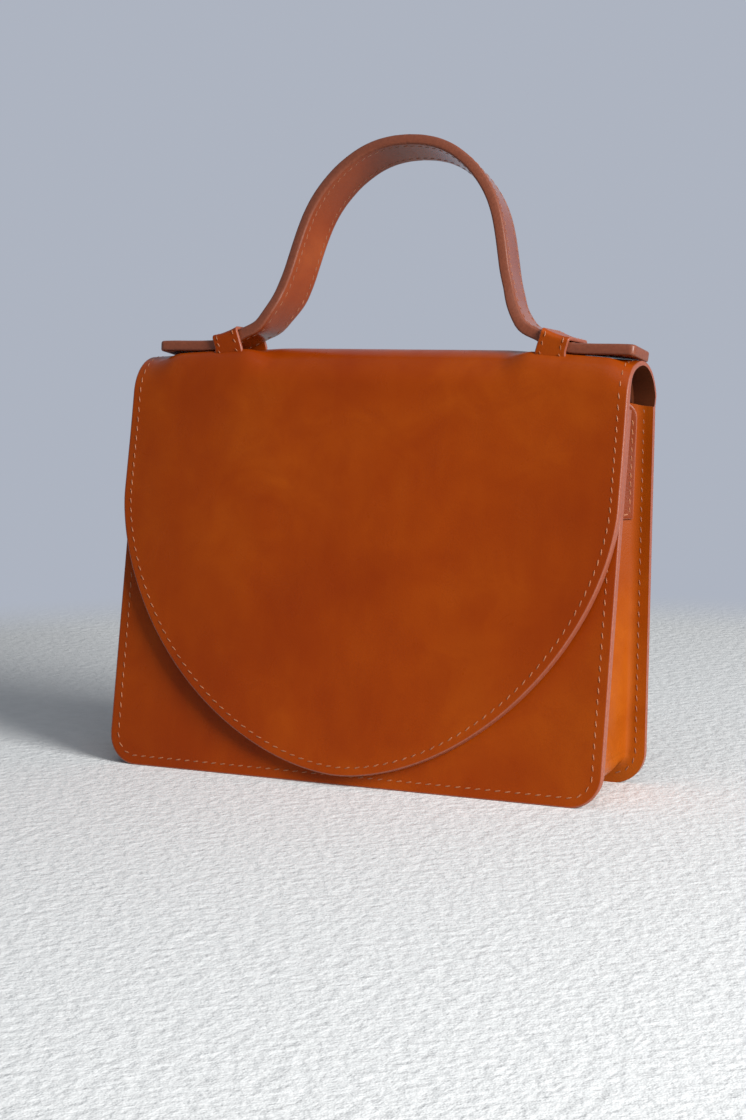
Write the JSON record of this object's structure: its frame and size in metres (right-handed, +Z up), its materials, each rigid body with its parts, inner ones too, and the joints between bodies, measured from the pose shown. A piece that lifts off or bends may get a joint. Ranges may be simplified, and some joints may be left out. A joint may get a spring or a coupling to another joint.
{
  "type": "mini briefcase bag",
  "caption": "Small flap-over leather bag standing on its edge, with bellows sides, a rounded full-front flap and a strap handle that slides under two loops.",
  "frame": {"origin": "centre of the bounding box's bottom face, on the ground plane the bag stands on", "axes": "+X to the right as one faces the bag, +Y from its front to its back, +Z up, the way the handle stands"},
  "size_m": [0.2201, 0.0776, 0.259],
  "materials": {
    "leather": "semi-gloss waxed bridle leather in cloudy cognac brown, burnished pink-tan edges",
    "lining_leather": "matt reddish brown leather",
    "strap_leather": "semi-gloss red-brown leather, burnished edges",
    "magnet_steel": "nickelled flat disc, hidden between layers"
  },
  "bodies": {
    "body": {"front_panel": "leather", "front_lining": "lining_leather", "front_magnet": "magnet_steel", "back_panel": "leather", "back_lining": "lining_leather", "gusset_left": "leather", "gusset_right": "leather", "gusset_base": "leather", "strap_tab_left": "strap_leather", "strap_tab_right": "strap_leather"},
    "top": {"top_leather": "leather", "top_lining": "lining_leather", "loop_left": "leather", "loop_right": "leather"},
    "flap": {"flap_leather": "leather", "flap_lining": "lining_leather", "flap_magnet": "magnet_steel"},
    "handle": {"handle_strap": "strap_leather", "handle_lining": "lining_leather"},
    "strap_end_right": {"handle_strap_end_right": "strap_leather", "handle_lining_end_right": "lining_leather"},
    "strap_end_left": {"handle_strap_end_left": "strap_leather", "handle_lining_end_left": "lining_leather"}
  },
  "joints": [
    {"name": "top_fold", "type": "hinge", "parent": "body", "child": "top", "pos_m": [0, 0.02574, 0.15609], "axis": [-1, 0, 0], "range_deg": [0, 90]},
    {"name": "flap_fold", "type": "hinge", "parent": "top", "child": "flap", "pos_m": [0, -0.00809, 0.16028], "axis": [-1, 0, 0], "range_deg": [0, 150]},
    {"name": "handle_lift", "type": "slide", "parent": "top", "child": "handle", "axis": [0, 0, 1], "range_m": [0, 0.016]},
    {"name": "strap_slide_right", "type": "slide", "parent": "handle", "child": "strap_end_right", "axis": [-0.6886, 0, -0.7252], "range_m": [0, 0.021]},
    {"name": "strap_slide_left", "type": "slide", "parent": "handle", "child": "strap_end_left", "axis": [0.6886, 0, -0.7252], "range_m": [0, 0.021]}
  ],
  "couplings": [
    {"joint": "strap_slide_right", "follows": "handle_lift", "ratio": 1.3047},
    {"joint": "strap_slide_left", "follows": "handle_lift", "ratio": 1.3047}
  ]
}
